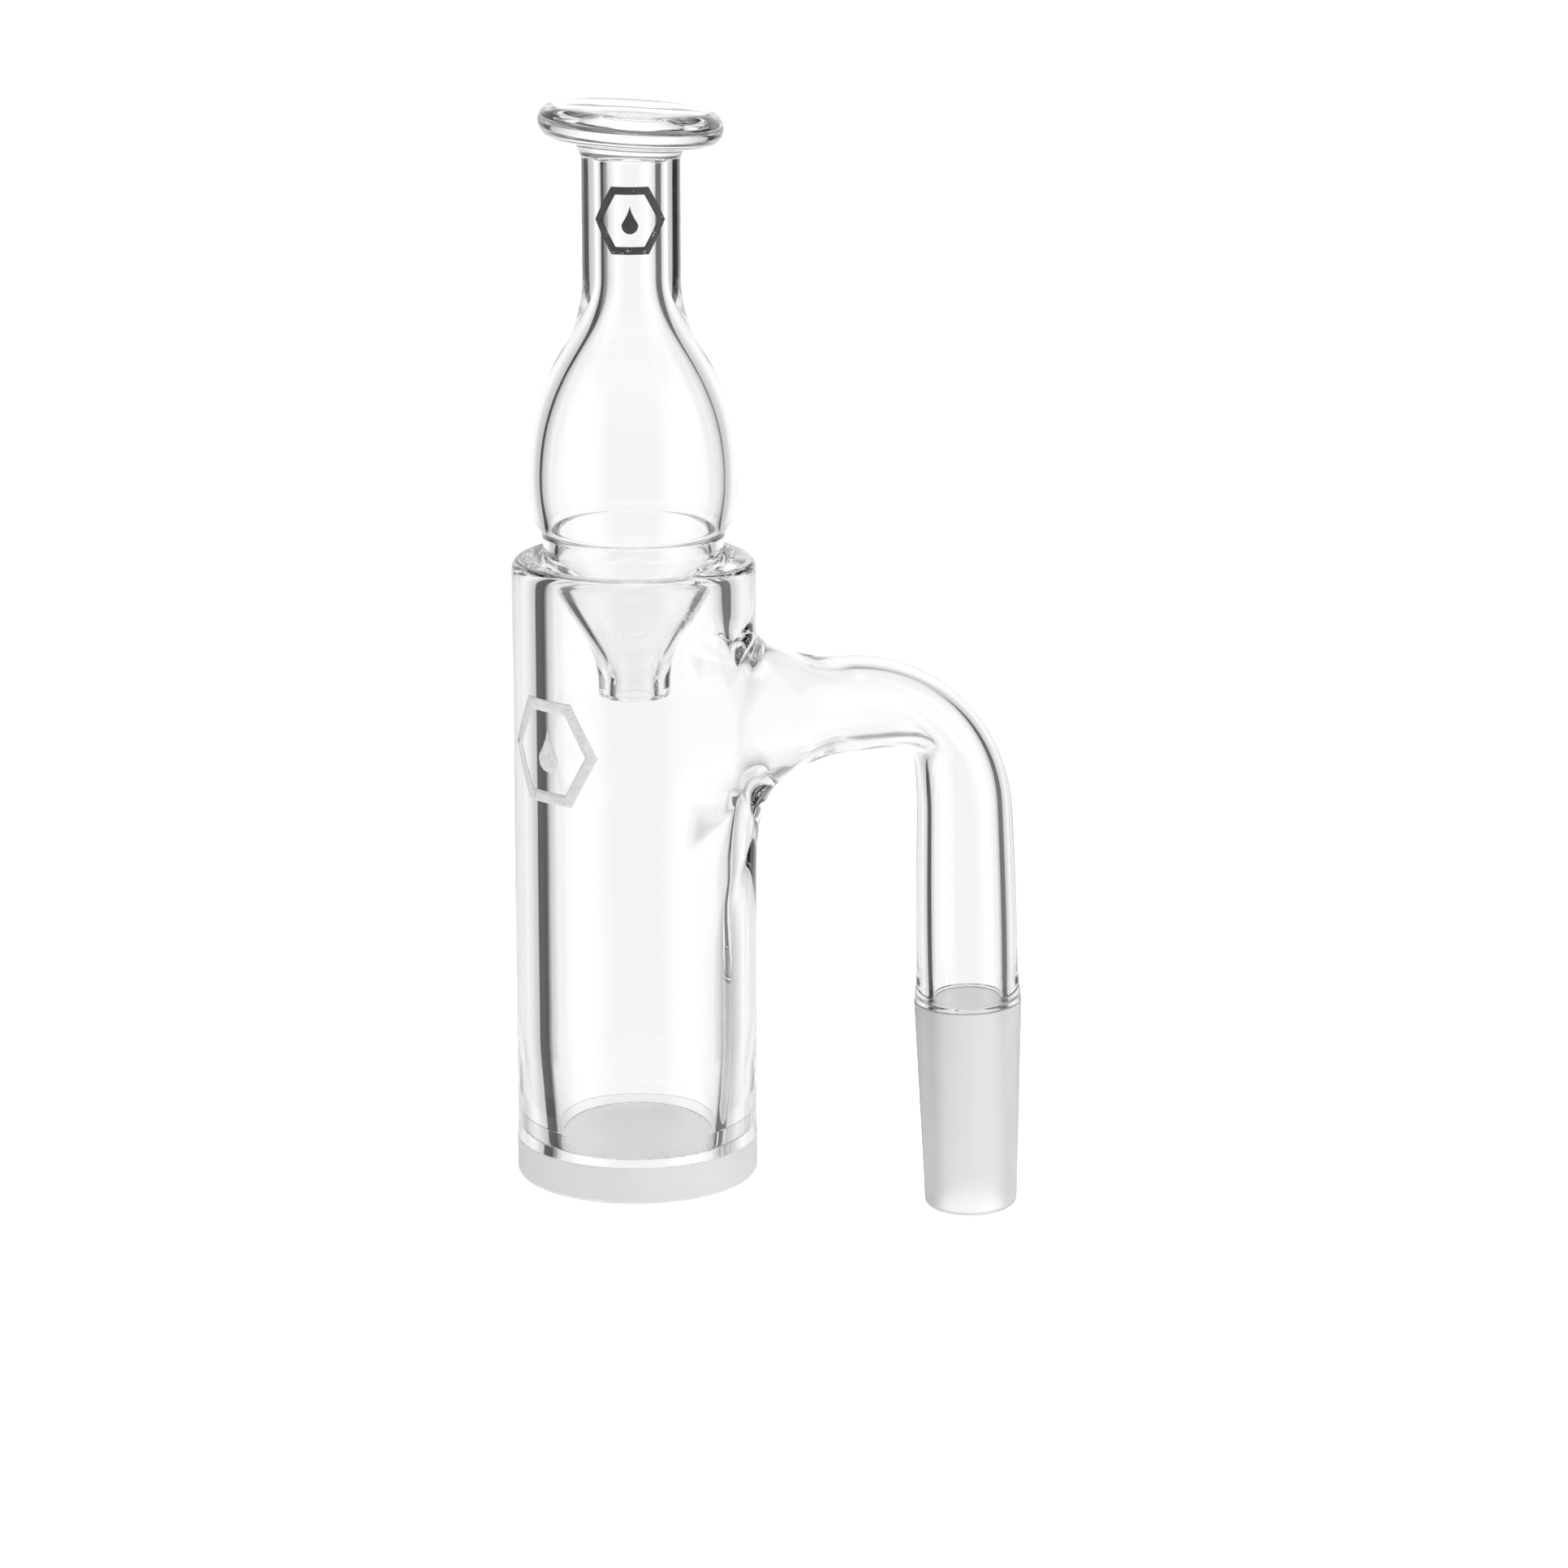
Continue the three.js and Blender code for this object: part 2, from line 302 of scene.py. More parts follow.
bucketClear = clearQuartz("bucket quartz")
capClear = clearQuartz("cap quartz")
baseFrost = frostedQuartz("frosted base", "base")
floorFrost = frostedQuartz("frosted floor", "floor")
jointFrost = frostedQuartz("ground joint", "joint")
printInk = markedQuartz("fired print", "fired")
etchedMark = markedQuartz("etched mark", "etched")
print("materials made")


def nodeBox(name):
    low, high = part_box(name)
    return low / mm, high / mm


def namedMount(name):
    found = next(m for m in frame["record"]["mounts"] if m["name"] == name)
    return Vector(found["pos_m"]) / mm, Vector(found["axis"])


def arcLine(centre, radius, start, end, steps=6):
    # a round stretch of an outline, with angles in degrees
    turns = [radians(start + (end - start) * step / steps) for step in range(steps + 1)]
    return [(centre[0] + radius * cos(turn), centre[1] + radius * sin(turn)) for turn in turns]


def drawnLine(start, startPull, endPull, end, steps=16):
    # a stretch drawn out like hot glass
    knots = [Vector(point) for point in (start, startPull, endPull, end)]
    return [(point.x, point.y) for point in geometry.interpolate_bezier(*knots, steps)]


def evenRows(radius, start, end, count):
    # an upright stretch of an outline, in even steps
    return [(radius, start + (end - start) * row / count) for row in range(count + 1)]


def spinOutline(bm, outline, steps, closed=False):
    verts = [bm.verts.new((radius, 0, height)) for radius, height in outline]
    ends = verts[1:] + verts[:1] if closed else verts[1:]
    edges = [bm.edges.new(pair) for pair in zip(verts, ends)]
    bmesh.ops.spin(
        bm, geom=verts + edges, cent=(0, 0, 0), axis=(0, 0, 1), angle=tau, steps=steps, use_merge=True)
    bmesh.ops.remove_doubles(bm, verts=bm.verts, dist=0.0005)
    bmesh.ops.recalc_face_normals(bm, faces=bm.faces)


def finishPiece(bm, name, material, body, nodes=(), subdivisions=0):
    bmesh.ops.scale(bm, vec=(mm, mm, mm), verts=bm.verts)
    mesh = bpy.data.meshes.new(name)
    bm.to_mesh(mesh)
    bm.free()
    mesh.shade_smooth()
    mesh.materials.append(material)
    piece = bpy.data.objects.new(name, mesh)
    scene.collection.objects.link(piece)
    if subdivisions:
        smooth = piece.modifiers.new("smooth", "SUBSURF")
        smooth.levels = smooth.render_levels = subdivisions
    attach(piece, body)
    if nodes:
        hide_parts(*nodes)
    print("made", name, len(mesh.polygons), "faces")
    return piece


baseHigh = nodeBox("base_disc")[1]
tubeHigh = nodeBox("bucket_tube")[1]
armLow, armHigh = nodeBox("side_arm")
jointHigh = nodeBox("ground_joint")[1]
jointPlace, jointDown = namedMount("joint_end")

# an opening is where the arm's skin leaves the wall: faces to each side, bottom, top and rows
bucketShape = {
    "wall": 3.0,
    "rimOuterRound": 0.9,
    "rimInnerRound": 1.3,
    "heelHeight": 9.0,
    "heelWidth": 0.6,
    "heelCurve": 1.5,
    "heelSteps": 5,
    "heelFillet": 0.12,
    "weldGap": 0.03,
    "weldEdge": 0.08,
    "weldRing": 0.5,
    "turnSteps": 40,
    "outerRings": (7, 13, 20),
    "outerRimRing": 54.3,
    "outerOpening": (8, 26.0, 52.3, 9),
    "innerRimRing": 52.5,
    "innerRings": (29, 24, 19, 15),
    "innerOpening": (9, 31.0, 50.6, 7),
}
armShape = {
    "seamRadius": 6.6,
    "seamBore": 5.2,
    "runRadius": 4.4,
    "runBore": 3.1,
    "legRadius": 4.7,
    "legBore": 3.3,
    "flareLength": 7.8,
    "flareSteps": 7,
    "bendRadius": 11.0,
    "bendSqueeze": 0.11,
    "bendSteps": 14,
    "crookSharp": 8,
    "boreCrookSharp": 5,
    "legRings": (0.2, 0.45, 0.7, 0.86, 0.93),
    "swellFrom": 0.86,
    "shoulder": 1.2,
    "footAbove": 3.0,
    "footBelow": 7.1,
    "footBeside": 2.8,
    "footLines": (0, 0.1, 0.26, 0.44, 0.62, 0.8, 1),
    "mouthAbove": 2.3,
    "mouthBelow": 3.6,
    "mouthBeside": 2.2,
    "mouthLines": (0, 0.08, 0.3, 0.65, 1),
    "endRing": 0.1,
    "endGap": 0.03,
}

bucketRadius = baseHigh.y
boreRadius = bucketRadius - bucketShape["wall"]
rimHeight = tubeHigh.z
baseTop = baseHigh.z
armAxis = armHigh.z - armHigh.y
seamPlace = armLow.x
legUp = -jointDown
legOut = Vector((legUp.z, 0, -legUp.x))
jointFoot = Vector((jointPlace.x, 0, jointPlace.z))
bendCentre = Vector((0, 0, armAxis - armShape["bendRadius"]))
bendCentre.x = jointFoot.x - (armShape["bendRadius"] - (jointFoot.z - bendCentre.z) * legOut.z) / legOut.x


def wallOutline():
    # outer wall up, over the polished rim, and down the bore to the heel
    shape = bucketShape
    outerLow, outerHigh, outerRows = shape["outerOpening"][1:]
    innerLow, innerHigh, innerRows = shape["innerOpening"][1:]
    weld = baseTop + shape["weldGap"]
    edge = shape["weldEdge"]
    outerRound = shape["rimOuterRound"]
    innerRound = shape["rimInnerRound"]
    outline = [(bucketRadius, z) for z in (weld, weld + edge, weld + shape["weldRing"])]
    outline += [(bucketRadius, z) for z in shape["outerRings"]]
    outline += evenRows(bucketRadius, outerLow, outerHigh, outerRows)
    outline += [(bucketRadius, shape["outerRimRing"])]
    outline += arcLine((bucketRadius - outerRound, rimHeight - outerRound), outerRound, 0, 90, 4)
    outline += arcLine((boreRadius + innerRound, rimHeight - innerRound), innerRound, 90, 180, 5)
    outline += [(boreRadius, shape["innerRimRing"])]
    outline += evenRows(boreRadius, innerHigh, innerLow, innerRows)
    outline += [(boreRadius, z) for z in shape["innerRings"]]
    heelBottom = baseTop + shape["heelFillet"]
    for step in range(shape["heelSteps"] + 1):
        share = step / shape["heelSteps"]
        reach = boreRadius - shape["heelWidth"] * share ** shape["heelCurve"]
        outline.append((reach, heelBottom + shape["heelHeight"] * (1 - share)))
    toe = boreRadius - shape["heelWidth"] - shape["heelFillet"]
    outline += arcLine((toe, heelBottom), shape["heelFillet"], 0, -75, 4)[1:]
    outline += [(toe, weld), ((toe + bucketRadius) / 2, weld), (bucketRadius - edge, weld)]
    return outline


def openWall(bm, near, far, opening):
    # takes a block of faces out of one side of the wall and returns its edge, in order round the arm
    steps, low, high = opening[:3]
    halfTurn = steps * tau / bucketShape["turnSteps"]
    block = []
    for face in bm.faces:
        middle = face.calc_center_median()
        if near < hypot(middle.x, middle.y) < far and abs(atan2(middle.y, middle.x)) < halfTurn:
            if low < middle.z < high:
                block.append(face)
    bmesh.ops.delete(bm, geom=block, context="FACES")
    rim = {v for e in bm.edges if e.is_boundary for v in e.verts if near < hypot(v.co.x, v.co.y) < far}
    angles = {v: (atan2(v.co.y, v.co.z - armAxis) + 0.001) % tau for v in rim}  # the top one comes first
    ordered = sorted(rim, key=angles.get)
    return {v: (angles[v], tau * place / len(ordered)) for place, v in enumerate(ordered)}


def pullRing(bm, ring, place):
    # extrudes the open edge and puts each new vertex where place says
    edges = {e for v in ring for e in v.link_edges if e.is_boundary and e.other_vert(v) in ring}
    made = bmesh.ops.extrude_edge_only(bm, edges=list(edges))["geom"]
    fresh = {}
    for vert in [g for g in made if isinstance(g, bmesh.types.BMVert)]:
        old = next(e.other_vert(vert) for e in vert.link_edges if e.other_vert(vert) in ring)
        fresh[vert] = ring[old]
    for vert, (angle, even) in fresh.items():
        vert.co = place(angle, even)
    return fresh


def saddlePlace(skin, slope, share):
    # a line of the flare leaves the wall along it and joins the trumpet at its slope
    above, below, beside = skin["spread"]
    seam = skin["seam"]

    def place(angle, even):
        turn = angle + (even - angle) * share
        side = abs(sin(turn))
        upright = above if cos(turn) > 0 else below
        foot = seam + beside * side ** 2 + upright * cos(turn) ** 2
        start = Vector((sqrt(skin["wall"] ** 2 - (foot * side) ** 2), foot))
        lean = foot * side ** 2 / start.x
        rise = slope * cos(turn) ** 2
        corner = Vector(((start.x + lean * (foot - seam - rise * seamPlace)) / (1 - lean * rise), seam))
        corner.y += rise * (seamPlace - corner.x)
        end = Vector((seamPlace, seam))
        at = start * (1 - share) ** 2 + corner * 2 * share * (1 - share) + end * share ** 2
        return Vector((at.x, at.y * sin(turn), armAxis + at.y * cos(turn)))

    return place


def armStations():
    # centre, outward direction, share of the flare, turn round the bend and share of the leg
    shape = armShape
    stations = []
    for step in range(1, shape["flareSteps"] + 1):
        share = step / shape["flareSteps"]
        x = seamPlace + shape["flareLength"] * share
        stations.append((Vector((x, 0, armAxis)), Vector((0, 0, 1)), share, 0, 0))
    lean = atan2(legOut.z, legOut.x)
    for step in range(shape["bendSteps"] + 1):
        share = step / shape["bendSteps"]
        turn = (pi / 2 - lean) * share
        out = Vector((sin(turn), 0, cos(turn)))
        stations.append((bendCentre + out * shape["bendRadius"], out, 1, pi / 2 * share, 0))
    bendEnd = stations[-1][0]
    legLength = (jointHigh.z - jointFoot.z) / legUp.z - shape["shoulder"] + shape["endGap"]
    legEnd = jointFoot + legUp * legLength
    for share in shape["legRings"]:
        stations.append((bendEnd.lerp(legEnd, share), legOut, 1, 0, share))
    for lift in (shape["endRing"], 0.0):
        stations.append((legEnd + legUp * lift, legOut, 1, 0, 1))
    return stations


def bendReach(radius, turn, sharpness):
    # how far the section stands to the outside of the bend, and into its crook
    shape = armShape
    outside = radius * (1 - shape["bendSqueeze"] * sin(2 * turn))
    crook = shape["bendRadius"] - radius
    corner = (abs(cos(turn)) ** sharpness + abs(sin(turn)) ** sharpness) ** (-1 / sharpness)
    return outside, shape["bendRadius"] - crook * corner


def drawArm(bm, ring, skin):
    # pulls an open edge of the wall out along the arm, as its outer or its inner skin
    slope = 2 * (skin["seam"] - skin["run"]) / armShape["flareLength"] * (1 - skin["ease"] / 2)
    swellFrom = armShape["swellFrom"]
    for share in skin["lines"]:
        ring = pullRing(bm, ring, saddlePlace(skin, slope, share))
    for centre, out, flare, turn, leg in armStations():
        radius = skin["run"] + (skin["seam"] - skin["run"]) * (1 - flare) ** 2 * (1 + skin["ease"] * flare)
        radius += (skin["leg"] - skin["run"]) * min(leg * 2, 1)
        radius += (skin["end"] - skin["leg"]) * max(leg - swellFrom, 0) / (1 - swellFrom)
        outside, inside = bendReach(radius, turn, skin["crook"])

        def place(angle, even):
            reach = outside if cos(even) > 0 else inside
            return centre + out * reach * cos(even) + Vector((0, radius * sin(even), 0))

        ring = pullRing(bm, ring, place)


def bucketGlass():
    shape = bucketShape
    arm = armShape
    outer = {
        "wall": bucketRadius,
        "seam": arm["seamRadius"],
        "run": arm["runRadius"],
        "leg": arm["legRadius"],
        "end": jointHigh.y,
        "spread": (arm["footAbove"], arm["footBelow"], arm["footBeside"]),
        "ease": 0,
        "crook": arm["crookSharp"],
        "lines": arm["footLines"],
    }
    inner = {
        "wall": boreRadius,
        "seam": arm["seamBore"],
        "run": arm["runBore"],
        "leg": arm["legBore"],
        "end": arm["legBore"],
        "spread": (arm["mouthAbove"], arm["mouthBelow"], arm["mouthBeside"]),
        "ease": 1,
        "crook": arm["boreCrookSharp"],
        "lines": arm["mouthLines"],
    }
    bm = bmesh.new()
    spinOutline(bm, wallOutline(), shape["turnSteps"], closed=True)
    middle = (bucketRadius + boreRadius) / 2
    drawArm(bm, openWall(bm, middle, bucketRadius + 1, shape["outerOpening"]), outer)
    drawArm(bm, openWall(bm, 0, middle, shape["innerOpening"]), inner)
    openEdges = [e for e in bm.edges if e.is_boundary]
    bmesh.ops.bridge_loops(bm, edges=openEdges)
    bmesh.ops.recalc_face_normals(bm, faces=bm.faces)
    finishPiece(bm, "bucketGlass", bucketClear, "bucket", ["bucket_tube", "side_arm"], 2)


bucketGlass()


# a ring of faces beside each round edge keeps the long faces evenly lit
baseShape = {
    "edgeRound": 0.5,
    "topRound": 0.08,
    "faceRing": 0.3,
    "lowerSideRing": 0.2,
    "upperSideRing": 0.1,
    "turnSteps": 128,
}


def baseFrosted():
    shape = baseShape
    edge = shape["edgeRound"]
    top = shape["topRound"]
    ring = shape["faceRing"]
    outline = [(0, 0), (bucketRadius / 2, 0), (bucketRadius - edge - ring, 0)]
    outline += arcLine((bucketRadius - edge, edge), edge, -90, 0, 8)
    outline += [(bucketRadius, edge + shape["lowerSideRing"])]
    outline += [(bucketRadius, baseTop - top - shape["upperSideRing"])]
    outline += arcLine((bucketRadius - top, baseTop - top), top, 0, 90, 4)
    outline += [(bucketRadius - ring, baseTop), (bucketRadius / 2, baseTop), (0, baseTop)]
    bm = bmesh.new()
    spinOutline(bm, outline, shape["turnSteps"])
    base = finishPiece(bm, "baseFrosted", baseFrost, "bucket", ["base_disc"])
    base.data.materials.append(floorFrost)
    for face in base.data.polygons:
        face.material_index = 1 if face.normal.z > 0.9 else 0


baseFrosted()


jointShape = {
    "bore": 3.25,
    "boreRound": 0.3,
    "boreEdge": 0.1,
    "polishReach": 0.25,
    "endRadius": 4.3,
    "lip": 0.5,
    "taperRings": (0.02, 0.5, 0.99),
    "topRound": 0.04,
    "topRing": 0.2,
    "turnSteps": 96,
}


def polishBore(joint, reach):
    # only the outside is ground: the faces of the bore keep the clear quartz
    joint.data.materials.append(bucketClear)
    for face in joint.data.polygons:
        away = face.center / mm - jointFoot
        away -= legUp * away.dot(legUp)
        face.material_index = 1 if away.length < reach else 0


def jointFrosted():
    shape = jointShape
    length = (jointHigh.z - jointFoot.z) / legUp.z - armShape["shoulder"]
    top = jointHigh.y
    bore = shape["bore"]
    inner = shape["boreRound"]
    edge = shape["boreEdge"]
    lip = shape["lip"]
    end = shape["endRadius"]
    corner = shape["topRound"]
    outline = [(bore, height) for height in (length - edge, length - inner, length / 2, inner * 2, inner)]
    outline += arcLine((bore + inner, inner), inner, 180, 270, 4)[1:]
    outline += arcLine((end - lip, lip), lip, -90, 0, 6)
    outline += [(end + (top - end) * share, lip + (length - lip) * share) for share in shape["taperRings"]]
    outline += arcLine((top - corner, length - corner), corner, 0, 90, 2)
    outline += [(top - shape["topRing"], length), (bore + edge, length)]
    bm = bmesh.new()
    spinOutline(bm, outline, shape["turnSteps"], closed=True)
    lean = Vector((0, 0, 1)).rotation_difference(legUp).to_matrix()
    bmesh.ops.rotate(bm, cent=(0, 0, 0), matrix=lean, verts=bm.verts)
    bmesh.ops.translate(bm, vec=jointFoot, verts=bm.verts)
    joint = finishPiece(bm, "jointFrosted", jointFrost, "bucket", ["ground_joint"])
    polishBore(joint, bore + shape["polishReach"])


jointFrosted()


# tiny bubbles along the weld of the floor
bubbleShape = {
    "count": 150,
    "ring": 7.25,
    "spread": 0.35,
    "smallest": 0.035,
    "largest": 0.1,
    "rise": 0.8,
    "seed": 4,
}


def weldBubbles():
    shape = bubbleShape
    pick = random.Random(shape["seed"])
    bm = bmesh.new()
    for _ in range(shape["count"]):
        size = pick.uniform(shape["smallest"], shape["largest"])
        turn = pick.uniform(0, tau)
        reach = shape["ring"] - abs(pick.gauss(0, shape["spread"]))
        middle = (reach * cos(turn), reach * sin(turn), baseTop + size * shape["rise"])
        place = Matrix.Translation(middle)
        bmesh.ops.create_icosphere(bm, subdivisions=2, radius=size, matrix=place)
    finishPiece(bm, "weldBubbles", bucketClear, "bucket")


weldBubbles()


# heights are counted from the bucket's rim
capShape = {
    "discLift": 0.25,
    "discDrop": 0.5,
    "discRound": 1.42,
    "discFillet": 1.7,
    "discRing": 0.6,
    "discTilt": 3.5,
    "tiltBelow": 1.2,
    "tiltBlend": 1.4,
    "dishDepth": 0.55,
    "dishPull": 3.5,
    "dishEdge": 5.2,
    "neckRadius": 4.35,
    "neckStart": 25.1,
    "neckPull": 7.2,
    "neckRings": (33.6, 31.8, 30, 28, 26.5),
    "shoulderPull": 11.5,
    "bulbWidest": 6.7,
    "bulbWall": 1.2,
    "bulbPull": 2.3,
    "innerPull": 2.6,
    "footHeight": 2.8,
    "footRadius": 8.4,
    "seatInset": 0.25,
    "seatTaper": 0.12,
    "seatDepth": 1.3,
    "seatEnd": 1.65,
    "seatRound": 0.2,
    "funnelRoot": 7.2,
    "funnelDepth": 2.0,
    "funnelBore": 5.6,
    "tipRadius": 3.2,
    "tipBore": 1.75,
    "tipStraight": 1.2,
    "tipLip": 0.35,
    "collarBore": 6.7,
    "collarFoot": 0.5,
    "ledgeHeight": 2.6,
    "ledgeRadius": 7.35,
    "ledgeFillet": ((0.02, 1.4), (0.08, 0.6), (0.18, 0.25), (0.3, 0.08), (0.42, 0.02)),
    "neckBore": 2.17,
    "boreRings": (26.5, 28, 30, 31.8, 33.4, 34.8),
    "domeTop": 36.4,
    "domeRise": 0.7,
    "domeSteps": 8,
    "turnSteps": 144,
}
bulbRadius = nodeBox("cap_bulb")[1].y
tipLow = nodeBox("cap_nozzle")[0]
discHigh = nodeBox("cap_disc")[1]
neckTop = nodeBox("cap_neck")[1].z - rimHeight
collarRadius = nodeBox("cap_collar")[1].y


def discOutline(shape):
    # dished top, round rim and the fillet down to the neck
    top = discHigh.z - rimHeight - shape["discDrop"]
    bottom = neckTop + shape["discLift"]
    dish = top - shape["dishDepth"]
    edge = shape["discRound"]
    reach = discHigh.y - edge
    fillet = shape["discFillet"]
    foot = shape["neckRadius"] + fillet
    outline = [(0, dish)]
    outline += drawnLine((0.3, dish), (shape["dishPull"], dish), (shape["dishEdge"], top), (reach, top))
    outline += arcLine((reach, top - edge), edge, 90, 0, 8)[1:]
    outline += arcLine((reach, bottom + edge), edge, 0, -90, 8)
    outline += [(foot + shape["discRing"], bottom)]
    outline += arcLine((foot, bottom - fillet), fillet, 90, 180, 8)
    return outline


def bulbOutline(shape):
    # neck, shoulder and bulb, and the foot that runs in to the seat
    neck = shape["neckRadius"]
    neckStart = shape["neckStart"]
    wide = shape["bulbWidest"]
    reach = shape["footRadius"]
    foot = shape["footHeight"]
    seat = collarRadius - shape["seatInset"]
    outline = [(neck, height) for height in shape["neckRings"]]
    outline += drawnLine(
        (neck, neckStart), (neck, neckStart - shape["neckPull"]),
        (bulbRadius, wide + shape["shoulderPull"]), (bulbRadius, wide), 36)
    outline += drawnLine(
        (bulbRadius, wide), (bulbRadius, wide - shape["bulbPull"]),
        (reach + 0.5, foot + 0.5), (reach, foot), 14)[1:]
    outline += drawnLine(
        (reach, foot), (reach - 0.35, foot - 0.4),
        (collarRadius, 1.5), (seat + shape["seatTaper"], 0), 8)[1:]
    outline += [(seat, -shape["seatDepth"]), (seat - shape["seatRound"], -shape["seatEnd"])]
    return outline


def nozzleOutline(shape):
    # funnel down to the tip, round its lip, and up the bore into the collar
    root = shape["funnelRoot"]
    depth = -shape["funnelDepth"]
    tip = tipLow.z - rimHeight
    tipStart = tip + shape["tipStraight"]
    drop = (depth - tipStart) / 3
    lip = shape["tipLip"]
    tipRadius = shape["tipRadius"]
    tipBore = shape["tipBore"]
    funnelBore = shape["funnelBore"]
    collarBore = shape["collarBore"]
    outline = drawnLine(
        (root, depth), (root - drop / 2, depth - drop),
        (tipRadius, tipStart + drop), (tipRadius, tipStart), 20)
    outline += arcLine((tipRadius - lip, tip + lip), lip, 0, -90, 5)
    outline += arcLine((tipBore + lip, tip + lip), lip, -90, -180, 5)
    outline += drawnLine(
        (tipBore, tipStart), (tipBore, tipStart + drop / 2),
        (funnelBore - drop / 3, depth - drop), (funnelBore, depth), 20)
    outline += drawnLine(
        (funnelBore, depth), (funnelBore + 0.4, depth + 1),
        (collarBore, -0.4), (collarBore, shape["collarFoot"]), 8)[1:]
    return outline


def insideOutline(shape):
    # ledge over the collar, inside of the bulb, and the neck's bore up to its dome
    ledge = shape["ledgeHeight"]
    rim = shape["ledgeRadius"]
    wall = shape["bulbWall"]
    wide = shape["bulbWidest"]
    inner = bulbRadius - wall
    bore = shape["neckBore"]
    neckStart = shape["neckStart"]
    outline = [(shape["collarBore"] + out, ledge - under) for out, under in shape["ledgeFillet"]]
    outline += drawnLine(
        (rim - 0.15, ledge + 0.02), (rim + 0.05, ledge + 0.15),
        (inner, wide - shape["innerPull"]), (inner, wide))
    outline += drawnLine(
        (inner, wide), (inner, wide + shape["shoulderPull"] - wall),
        (bore, neckStart - shape["neckPull"] + wall), (bore, neckStart), 36)[1:]
    outline += [(bore, height) for height in shape["boreRings"]]
    dome = shape["domeTop"] - shape["domeRise"]
    for step in range(shape["domeSteps"]):
        turn = pi / 2 * step / shape["domeSteps"]
        outline.append((bore * cos(turn), dome + shape["domeRise"] * sin(turn)))
    outline += [(0, shape["domeTop"])]
    return outline


def tiltDisc(bm, shape):
    # leans the disc, and leaves the neck and its bore upright
    start = neckTop - shape["tiltBelow"]
    slope = sin(radians(shape["discTilt"]))
    borders = (shape["neckBore"] + shape["neckRadius"]) / 2
    for vert in bm.verts:
        share = min(max((vert.co.z - start) / shape["tiltBlend"], 0), 1)
        if vert.co.z > neckTop or hypot(vert.co.x, vert.co.y) > borders:
            vert.co.z -= vert.co.x * share * share * (3 - 2 * share) * slope


def capGlass():
    shape = capShape
    outline = discOutline(shape) + bulbOutline(shape) + nozzleOutline(shape) + insideOutline(shape)
    bm = bmesh.new()
    spinOutline(bm, outline, shape["turnSteps"])
    tiltDisc(bm, shape)
    bmesh.ops.translate(bm, vec=(0, 0, rimHeight), verts=bm.verts)
    finishPiece(
        bm, "capGlass", capClear, "cap",
        ["cap_collar", "cap_bulb", "cap_neck", "cap_nozzle", "cap_disc"])


capGlass()


# each mark is a plain hexagon with a drop in it
markShape = {
    "lift": 0.015,
    "thickness": 0.02,
    "bar": 0.23,
    "dropWide": 0.22,
    "dropPoint": 0.5,
    "dropWaist": 0.9,
    "dropShift": 0.12,
    "cuts": 12,
    "cap": {"azimuth": -23.0, "height": 30.6, "halfHeight": 3.4, "halfWidth": 3.3},
    "bucket": {"azimuth": -66.0, "height": 41.1, "halfHeight": 5.4, "halfWidth": 5.2},
}


def hexagonMark():
    # flat in X and Y, one unit from the middle to a corner, cut into small faces so that it can bend
    shape = markShape
    bm = bmesh.new()
    made = bmesh.ops.create_circle(bm, cap_ends=True, segments=6, radius=1)
    bmesh.ops.rotate(bm, cent=(0, 0, 0), matrix=Matrix.Rotation(pi / 6, 3, "Z"), verts=made["verts"])
    ring = bmesh.ops.inset_individual(bm, faces=bm.faces[:], thickness=shape["bar"])["faces"]
    bmesh.ops.delete(bm, geom=[f for f in bm.faces if f not in ring], context="FACES_ONLY")
    drop = bmesh.ops.create_circle(bm, cap_ends=True, segments=32, radius=shape["dropWide"])["verts"]
    for vert in drop:
        reach = max(vert.co.y / shape["dropWide"], 0)
        vert.co.x *= (1 - shape["dropWaist"] * reach ** 2) if reach < 1 else 0
        vert.co.y += (shape["dropPoint"] - shape["dropWide"]) * reach ** 3 - shape["dropShift"]
    bmesh.ops.triangulate(bm, faces=[f for f in bm.faces if len(f.verts) > 4])
    cuts = shape["cuts"]
    for cut in range(-cuts, cuts + 1):
        for normal in ((1, 0, 0), (0, 1, 0)):
            whole = bm.verts[:] + bm.edges[:] + bm.faces[:]
            bmesh.ops.bisect_plane(bm, geom=whole, plane_co=Vector(normal) * cut / cuts, plane_no=normal)
    return bm


def wrapMark(name, material, body, radius, start, place):
    # bends the flat mark round a tube, at a height counted from start
    bm = hexagonMark()
    thick = markShape["thickness"]
    top = bmesh.ops.extrude_face_region(bm, geom=bm.faces[:])["geom"]
    for vert in [g for g in top if isinstance(g, bmesh.types.BMVert)]:
        vert.co.z = thick
    for vert in bm.verts:
        across, up, out = vert.co
        turn = radians(place["azimuth"]) + across * place["halfWidth"] / radius
        reach = radius + markShape["lift"] + out
        height = start + place["height"] + up * place["halfHeight"]
        vert.co = (reach * sin(turn), -reach * cos(turn), height)
    bmesh.ops.recalc_face_normals(bm, faces=bm.faces)
    finishPiece(bm, name, material, body)


wrapMark("capMark", printInk, "cap", capShape["neckRadius"], rimHeight, markShape["cap"])
wrapMark("bucketMark", etchedMark, "bucket", bucketRadius, 0, markShape["bucket"])


